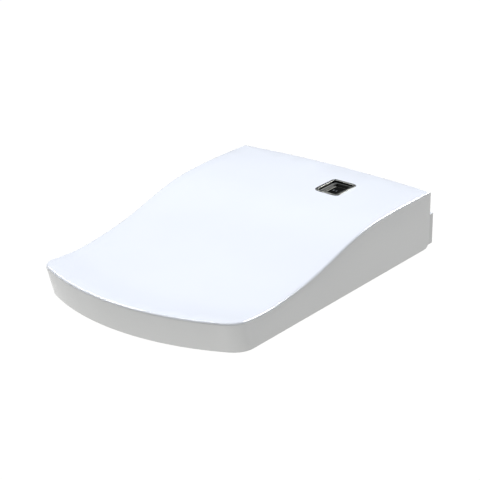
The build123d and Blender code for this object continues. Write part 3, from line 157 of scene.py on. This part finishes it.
def lined(material, colour, shade, gloss, waves, stretch, height):
    """Fine tool or brush lines in colour, gloss and relief."""
    lines = noise(material, waves, 3.0, stretch)
    tint(material, lines, tuple(channel * shade for channel in colour), colour)
    gloss_range(material, lines, *gloss)
    relief(material, lines, height)
    return material


def metal(name, colour, gloss, stretch=(1, 1, 1), waves=900, height=0.00001):
    """Bare metal, its lines drawn out along the axes with a small stretch."""
    return lined(finish(name, Metallic=1.0), colour, 0.86, gloss, waves, stretch, height)


def satin_nickel(name, colour):
    """Plastic with a thin nickel finish: part metal, with a soft gloss and very fine lines."""
    material = finish(name, Metallic=0.5, IOR=1.5)
    return lined(material, colour, 0.88, (0.09, 0.15), 500, (1, 0.05, 1), 0.000002)


finishes = {
    "lid_white": moulded("lid_white_gloss", (0.76, 0.765, 0.76), (0.09, 0.13)),
    "seat_white": moulded("seat_white_gloss", (0.80, 0.80, 0.785), (0.14, 0.2)),
    # The case's white is set darker than the lid's: painted shade for the rear block, which sits in shadow behind the
    # lid.
    "case_white": moulded("case_white_gloss", (0.69, 0.695, 0.69), (0.2, 0.28)),
    "base_grey": moulded("base_matt", (0.70, 0.71, 0.705), (0.42, 0.52), 0.00002),
    "bright_trim": satin_nickel("trim_satin_nickel", (0.19, 0.19, 0.168)),
    "key_black": moulded("key_black_gloss", (0.004, 0.004, 0.003), (0.05, 0.08), drift=0.001, index=1.3),
    "dark_window": moulded("sensor_window_dark", (0.03, 0.012, 0.018), (0.04, 0.08), drift=0.006),
    "soft_rubber": moulded("soft_pad_rubber", (0.72, 0.72, 0.70), (0.6, 0.75), 0.00003),
    "black_rubber": moulded("foot_black_rubber", (0.03, 0.03, 0.03), (0.6, 0.75), 0.00004, drift=0.008),
    "steel": metal("turned_steel", (0.62, 0.62, 0.63), (0.16, 0.3), (1, 0.02, 0.02)),
    "zinc_screw": metal("zinc_plate", (0.66, 0.67, 0.64), (0.25, 0.4), waves=500),
    "damper_plastic": moulded("damper_housing", (0.62, 0.62, 0.61), (0.4, 0.5), 0.00002),
    "bush_plastic": moulded("bush_acetal", (0.8, 0.8, 0.78), (0.3, 0.38)),
    "board_green": moulded("board_solder_resist", (0.03, 0.16, 0.06), (0.25, 0.4), drift=0.02),
    "foil": metal("heater_foil", (0.78, 0.78, 0.79), (0.2, 0.4), waves=250, height=0.00012),
    "light_lens": moulded("lens_milky", (0.86, 0.88, 0.9), (0.15, 0.2)),
    "nozzle_white": moulded("nozzle_white_gloss", (0.82, 0.82, 0.81), (0.12, 0.18)),
    "gear_white": moulded("gear_acetal", (0.78, 0.77, 0.72), (0.35, 0.42), 0.00001),
    "motor_case": metal("motor_can_plated", (0.55, 0.55, 0.57), (0.3, 0.42), (0.03, 1, 1), 400),
    "duct_plastic": moulded("duct_heat_resistant", (0.06, 0.06, 0.065), (0.45, 0.55), 0.00003, drift=0.01),
    "blower_grey": moulded("blower_glass_filled", (0.14, 0.14, 0.15), (0.4, 0.5), 0.00003),
    "carbon_grey": moulded("cartridge_grey", (0.22, 0.23, 0.24), (0.4, 0.5), 0.00003),
    "brass_thread": metal("machined_brass", (0.72, 0.56, 0.28), (0.18, 0.3), (1, 0.03, 1)),
    "valve_blue": moulded("valve_body", (0.62, 0.68, 0.76), (0.3, 0.4), 0.00001),
    "tank_amber": moulded("tank_glass_filled", (0.66, 0.56, 0.38), (0.3, 0.4), 0.00002, drift=0.04),
    "hose_clear": moulded("hose_silicone", (0.76, 0.79, 0.76), (0.25, 0.35)),
}
for node, piece in nodes.items():
    piece.data.materials.clear()
    piece.data.materials.append(finishes[slot_of[node]])


# ---------------------------------------------------------------- shaping tools
def only(piece):
    """Select one piece alone and make it active."""
    bpy.ops.object.select_all(action="DESELECT")
    piece.select_set(True)
    bpy.context.view_layer.objects.active = piece


def centre_of(near, far):
    """The middle of a box along each axis."""
    return [(start + end) / 2 for start, end in zip(near, far)]


def apply_bevel(piece, width, segments=2, angle=35):
    """Round a piece's sharp edges and apply it."""
    only(piece)
    bevel = piece.modifiers.new("edge", "BEVEL")
    bevel.width = width
    bevel.segments = segments
    bevel.limit_method = "ANGLE"
    bevel.angle_limit = radians(angle)
    bevel.use_clamp_overlap = True
    bpy.ops.object.modifier_apply(modifier="edge")


def fit_in(piece, body, slot, *stands_for):
    """Give a finished piece its body, its material slot and the nodes that it stands for."""
    if not piece.data.materials:
        piece.data.materials.append(finishes[slot])
    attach(piece, body)
    if stands_for:
        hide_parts(*stands_for)


def eased(node, name, width, smooth=32, planar=True):
    """A node's own form as one merged skin, with its sharp edges rounded by width and, if planar, its flats joined."""
    same_place, same_plane = 0.000002, 0.05
    source = nodes[node]
    piece = source.copy()
    piece.data = source.data.copy()
    piece.name = name
    piece.parent = None
    bpy.context.scene.collection.objects.link(piece)
    only(piece)
    bpy.ops.mesh.customdata_custom_splitnormals_clear()
    bpy.ops.object.mode_set(mode="EDIT")
    bpy.ops.mesh.select_all(action="SELECT")
    bpy.ops.mesh.remove_doubles(threshold=same_place)
    if planar:
        bpy.ops.mesh.dissolve_limited(angle_limit=radians(same_plane))
    bpy.ops.object.mode_set(mode="OBJECT")
    if width:
        apply_bevel(piece, width)
    bpy.ops.object.shade_smooth_by_angle(angle=radians(smooth))
    if width:
        even = piece.modifiers.new("even", "WEIGHTED_NORMAL")
        even.keep_sharp = True
        bpy.ops.object.modifier_apply(modifier="even")
    fit_in(piece, body_of[node], slot_of[node], node)


# ---------------------------------------------------------------- lid and seat, whose edges are round in the CAD
eased("lid_shell", "lid_cover", 0, smooth=25, planar=False)
eased("seat_top", "seat_ring", 0, smooth=25, planar=False)

# ---------------------------------------------------------------- the rest, each with its own edge rounding
for node, name, width in (
    ("lid_window_trim", "window_trim", 0),
    ("key_frame", "key_surround", 0.0002),
    ("control_key", "wash_key", 0.0006),
    ("rear_cover", "rear_housing", 0.0004),
    ("upper_case", "unit_cover", 0.0004),
    ("lower_case", "unit_tray", 0.0004),
    ("seat_base", "seat_underside", 0.0004),
    ("air_flap", "dryer_flap", 0.0003),
    ("sensor_window", "occupancy_window", 0.0003),
    ("night_light", "lamp_lens", 0.0003),
    ("mounting_plate", "bowl_plate", 0.0005),
    ("release_button", "side_release", 0.0004),
    ("deodoriser_cartridge", "carbon_cartridge", 0.0004),
    ("filter_plug", "strainer_plug", 0.0003),
    ("cord_gland", "mains_gland", 0.0003),
    ("water_inlet", "inlet_fitting", 0.0002),
    ("lid_bumpers", "lid_pads", 0.0004),
    ("seat_bumpers", "seat_pads", 0.0004),
    ("case_feet", "unit_feet", 0.0004),
    ("case_screws", "case_screw_set", 0.0002),
    ("lid_damper", "lid_damper_body", 0.0003),
    ("seat_damper", "seat_damper_body", 0.0003),
    ("lid_damper_shaft", "lid_shaft", 0.0002),
    ("seat_damper_shaft", "seat_shaft", 0.0002),
    ("hinge_bushes", "hinge_bush_set", 0.0002),
    ("rear_nozzle", "rear_wand_tube", 0.0002),
    ("rear_nozzle_tip", "rear_wand_tip", 0.0001),
    ("front_nozzle", "front_wand_tube", 0.0002),
    ("front_nozzle_tip", "front_wand_tip", 0.0001),
    ("nozzle_frame", "wand_carrier", 0.0003),
    ("air_duct", "dryer_duct", 0.0003),
    ("blower_housing", "blower_scroll", 0.0004),
    ("heater_tank", "water_heater_tank", 0.0005),
    ("pump", "water_pump", 0.0004),
    ("solenoid_valve", "inlet_valve", 0.0003),
    ("diverter_valve", "wash_diverter", 0.0003),
    ("control_board", "key_board", 0.0002),
    ("power_board", "supply_board", 0.0002),
):
    eased(node, name, width)


def paint_sleeve_shade():
    """The upright inner walls of the window's ring are set black: painted shade for the dark gap inside the window."""
    ring = bpy.data.objects["window_trim"]
    # Painted shade: the key's black finish goes on the ring's inner walls to darken the gap.
    ring.data.materials.append(finishes["key_black"])
    near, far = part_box("lid_window_trim")
    across, along, _ = centre_of(near, far)
    rim, upright = 0.0042, 0.35
    half_width, half_length = (far[0] - near[0]) / 2 - rim, (far[1] - near[1]) / 2 - rim
    for face in ring.data.polygons:
        inside = abs(face.center.x - across) < half_width and abs(face.center.y - along) < half_length
        if inside and abs(face.normal.z) < upright:
            face.material_index = 1


paint_sleeve_shade()


# ---------------------------------------------------------------- tools for the pieces that are new here
def block_at(name, centre, size):
    """A box to shape further, with its place and size in its mesh."""
    bpy.ops.object.select_all(action="DESELECT")
    bpy.ops.mesh.primitive_cube_add(size=1, location=centre)
    piece = bpy.context.object
    piece.name = name
    piece.scale = size
    bpy.ops.object.transform_apply(location=True, rotation=True, scale=True)
    return piece


def copies(piece, steps):
    """Copies of a piece, each with its own mesh, moved by the steps and merged with it into one piece."""
    made = []
    for step in steps:
        copy = piece.copy()
        copy.data = piece.data.copy()
        bpy.context.scene.collection.objects.link(copy)
        copy.location = step
        made.append(copy)
    only(piece)
    for copy in made:
        copy.select_set(True)
    bpy.ops.object.join()
    return piece


def soft_bar(name, centre, size, edge):
    """A bar with drawn-in ends and rounded edges, as a moulded rib has."""
    bar = block_at(name, centre, size)
    bpy.ops.object.mode_set(mode="EDIT")
    sheet = bmesh.from_edit_mesh(bar.data)
    thin = min(range(3), key=lambda axis: size[axis])
    for face in sheet.faces:
        face.select = abs(face.normal[thin]) > 0.9
    bmesh.update_edit_mesh(bar.data)
    bpy.ops.mesh.inset(thickness=edge * 0.5, use_individual=True)
    bpy.ops.object.mode_set(mode="OBJECT")
    apply_bevel(bar, edge, 3)
    bpy.ops.object.shade_smooth_by_angle(angle=radians(50))
    return bar


# ---------------------------------------------------------------- black ring round the key's frame, painted shade in the gap
def face_up(mesh, height):
    """Select, in edit mode, the faces that look up at one height."""
    facing, same_height = 0.9, 0.0002
    sheet = bmesh.from_edit_mesh(mesh)
    for face in sheet.faces:
        face.select = face.normal.z > facing and abs(face.calc_center_median().z - height) < same_height
    sheet.select_flush_mode()
    bmesh.update_edit_mesh(mesh)


def key_shade_ring():
    """A black ring on the case that fills the space between the key's frame and the lid's window: painted shade,
    standing in for the shadow in that gap.
    """
    near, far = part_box("key_frame")
    across, along, _ = centre_of(near, far)
    nip, rim, floor_thickness, corner_radius, edge_radius = 0.0002, 0.0045, 0.0004, 0.005, 0.0006
    width, length = far[0] - near[0] - nip, far[1] - near[1] - nip
    foot, head = 0.0942, 0.0990
    size = (width + 2 * rim, length + 2 * rim, head - foot)
    # Painted shade: this black ring darkens a gap that is dark only from shadow.
    ring = block_at("key_shade_ring", (across, along, (foot + head) / 2), size)
    bpy.ops.object.mode_set(mode="EDIT")
    sheet = bmesh.from_edit_mesh(ring.data)
    for edge in sheet.edges:
        start, end = (corner.co for corner in edge.verts)
        upright = abs(start.z - end.z) > (head - foot) / 2
        edge.select = upright
    bmesh.update_edit_mesh(ring.data)
    bpy.ops.mesh.bevel(offset=corner_radius, segments=6)
    face_up(ring.data, head)
    bpy.ops.mesh.inset(thickness=rim)
    bpy.ops.transform.translate(value=(0, 0, foot - head + floor_thickness))
    bpy.ops.object.mode_set(mode="OBJECT")
    apply_bevel(ring, edge_radius, 3)
    bpy.ops.object.shade_smooth_by_angle(angle=radians(40))
    fit_in(ring, "case", "black_rubber")


key_shade_ring()


# ---------------------------------------------------------------- small parts on the key, nozzles, flap and inlet
def key_marks():
    """Two short raised bars that the finger finds on the key."""
    near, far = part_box("control_key")
    across, along, _ = centre_of(near, far)
    off_left, off_front, spacing = 0.0012, 0.0021, 0.0058
    place = (across - off_left - spacing / 2, along - off_front, far[2])
    bar = soft_bar("key_marks", place, (0.0011, 0.0040, 0.0006), 0.00018)
    copies(bar, [(spacing, 0, 0)])
    fit_in(bar, "key", "carbon_grey")


def flap_ribs():
    """Three ribs across the dryer's flap."""
    near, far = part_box("air_flap")
    across = centre_of(near, far)[0]
    low_rib, pitch = near[2] + 0.0058, 0.0045
    rib = soft_bar("dryer_flap_ribs", (across, near[1], low_rib), (0.026, 0.0012, 0.0014), 0.0003)
    copies(rib, [(0, 0, pitch), (0, 0, 2 * pitch)])
    fit_in(rib, "outlet_flap", "case_white")


def grip_ribs():
    """Finger ribs in the cartridge's grip."""
    near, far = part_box("deodoriser_cartridge")
    across, _, height = centre_of(near, far)
    sunk, pitch, per_row, row_gap = 0.0049, 0.004, 7, 0.009
    place = (across - pitch * (per_row - 1) / 2, far[1] - sunk, height + row_gap / 2)
    rib = soft_bar("cartridge_grip_ribs", place, (0.0012, 0.0008, 0.0042), 0.00025)
    steps = [(pitch * count, 0, 0) for count in range(1, per_row)]
    steps += [(pitch * count, 0, -row_gap) for count in range(per_row)]
    copies(rib, steps)
    fit_in(rib, "cartridge", "carbon_grey")


def spray_holes(name, node, body, places):
    """Spray holes in a nozzle's tip: small collars with sunk mouths, square to the nozzle."""
    near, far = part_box(node)
    across, mid_y, mid_z = centre_of(near, far)
    tip_radius = (far[0] - near[0]) / 2
    lean = radians(10)
    sunk, collar_radius, collar_height = 0.0004, 0.00085, 0.0011
    lip, mouth_depth, edge_radius = 0.0003, 0.0007, 0.00008
    top = Vector((across, mid_y - tip_radius * sin(lean), mid_z + tip_radius * cos(lean) - sunk))
    bpy.ops.object.select_all(action="DESELECT")
    bpy.ops.mesh.primitive_cylinder_add(
        vertices=24, radius=collar_radius, depth=collar_height, location=top, rotation=(lean, 0, 0)
    )
    collar = bpy.context.object
    collar.name = name
    bpy.ops.object.transform_apply(location=True, rotation=True, scale=True)
    bpy.ops.object.mode_set(mode="EDIT")
    sheet = bmesh.from_edit_mesh(collar.data)
    for face in sheet.faces:
        face.select = face.normal.z > 0.9
    bmesh.update_edit_mesh(collar.data)
    bpy.ops.mesh.inset(thickness=lip)
    bpy.ops.transform.translate(value=(0, 0, -mouth_depth))
    bpy.ops.object.mode_set(mode="OBJECT")
    apply_bevel(collar, edge_radius, 2, 50)
    bpy.ops.object.shade_smooth_by_angle(angle=radians(40))
    slide = Vector((0, -cos(lean), -sin(lean)))
    side = Vector((1, 0, 0))
    copies(collar, [slide * along + side * aside for along, aside in places])
    fit_in(collar, body, "steel")


def inlet_thread():
    """The pipe thread on the water inlet: one V-shaped ridge wound round the spigot."""
    near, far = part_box("water_inlet")
    across, _, height = centre_of(near, far)
    pitch, turns, root, ridge, bare_end = 0.0018, 5, 0.0102, 0.0008, 0.0006
    start = far[1] - bare_end - pitch * (turns + 0.5)
    bpy.ops.object.select_all(action="DESELECT")
    bpy.ops.mesh.primitive_circle_add(
        vertices=3, radius=ridge, location=(across, start, height), rotation=(0, 0, radians(-90))
    )
    thread = bpy.context.object
    thread.name = "inlet_thread"
    bpy.ops.object.transform_apply(location=False, rotation=True, scale=True)
    bpy.ops.object.mode_set(mode="EDIT")
    bpy.ops.mesh.select_all(action="SELECT")
    bpy.ops.transform.translate(value=(root, 0, 0))
    bpy.ops.object.mode_set(mode="OBJECT")
    wind = thread.modifiers.new("wind", "SCREW")
    wind.axis = "Y"
    wind.screw_offset = pitch
    wind.iterations = turns
    wind.steps = wind.render_steps = 40
    wind.use_merge_vertices = False
    bpy.ops.object.modifier_apply(modifier="wind")
    bpy.ops.object.mode_set(mode="EDIT")
    bpy.ops.mesh.select_all(action="SELECT")
    bpy.ops.mesh.remove_doubles(threshold=0.000001)
    bpy.ops.mesh.fill_holes(sides=4)
    bpy.ops.mesh.select_all(action="SELECT")
    bpy.ops.mesh.normals_make_consistent(inside=False)
    bpy.ops.object.mode_set(mode="OBJECT")
    bpy.ops.object.transform_apply(location=True, rotation=True, scale=True)
    bpy.ops.object.shade_smooth_by_angle(angle=radians(30))
    fit_in(thread, "case", "brass_thread")


key_marks()
flap_ribs()
grip_ribs()
spray_holes("rear_spray_holes", "rear_nozzle_tip", "rear_wand", [(0.0022, 0.0011), (0.0022, -0.0011)])
spray_holes(
    "front_spray_holes", "front_nozzle_tip", "front_wand", [(0.0024, 0.0014), (0.0024, -0.0014), (-0.0024, 0)]
)
inlet_thread()


# ---------------------------------------------------------------- floor, lights and camera
bpy.ops.object.select_all(action="DESELECT")
bpy.ops.mesh.primitive_plane_add(size=60, location=(0, 0, 0))
floor = bpy.context.object
floor.name = "floor"
floor_paint = finish(
    "floor_pale",
    Base_Color=(0.02, 0.02, 0.02, 1),
    Roughness=1.0,
    Specular_IOR_Level=0.0,
    Emission_Color=(1.01, 1.01, 1.0, 1),
    Emission_Strength=1.0,
)
floor.data.materials.append(floor_paint)


def soft_light(name, place, size, power, colour=(1.0, 1.0, 1.0)):
    """A square studio light that faces the middle of the object."""
    data = bpy.data.lights.new(name, "AREA")
    data.shape = "SQUARE"
    data.size = size
    data.energy = power
    data.color = colour
    light = bpy.data.objects.new(name, data)
    light.location = place
    light.rotation_euler = (middle - Vector(place)).to_track_quat("-Z", "Y").to_euler()
    bpy.context.scene.collection.objects.link(light)
    return light


middle = (Vector(cad_box[0]) + Vector(cad_box[1])) / 2

# One wide light for the faces, and cards that only show as bright lines on the rounded edges.
soft_light("overhead", (-1.5, 0.9, 6.8), 5.4, 905, (0.862, 0.90, 1.0)).visible_glossy = False
for name, place, size, power in (
    ("ridge_card", (1.3, 2.6, 2.0), 1.6, 160),
    ("left_edge_card", (-2.84, 0.5, 2.15), 1.2, 42),
    ("front_edge_card", (-2.1, -0.3, 2.9), 1.2, 42),
    ("right_edge_card", (-0.9, -0.6, 3.5), 1.2, 42),
    ("ring_card", (-2.0, -1.35, 2.75), 0.9, 40),
):
    soft_light(name, place, size, power).visible_diffuse = False

world = bpy.data.worlds.new("studio")
world.use_nodes = True
world.node_tree.nodes["Background"].inputs["Color"].default_value = (0.9, 0.94, 1.0, 1)
world.node_tree.nodes["Background"].inputs["Strength"].default_value = 0.06
bpy.context.scene.world = world
bpy.context.scene.view_settings.view_transform = "Standard"

camera_data = bpy.data.cameras.new("camera")
camera_data.sensor_width = 36
camera_data.lens = 142.1
camera_data.clip_end = 100
camera = bpy.data.objects.new("camera", camera_data)
camera.location = (1.6672, -2.3760, 1.1953)
camera.rotation_euler = Vector((-0.55869, 0.73608, -0.38216)).to_track_quat("-Z", "Y").to_euler()
bpy.context.scene.collection.objects.link(camera)
bpy.context.scene.camera = camera
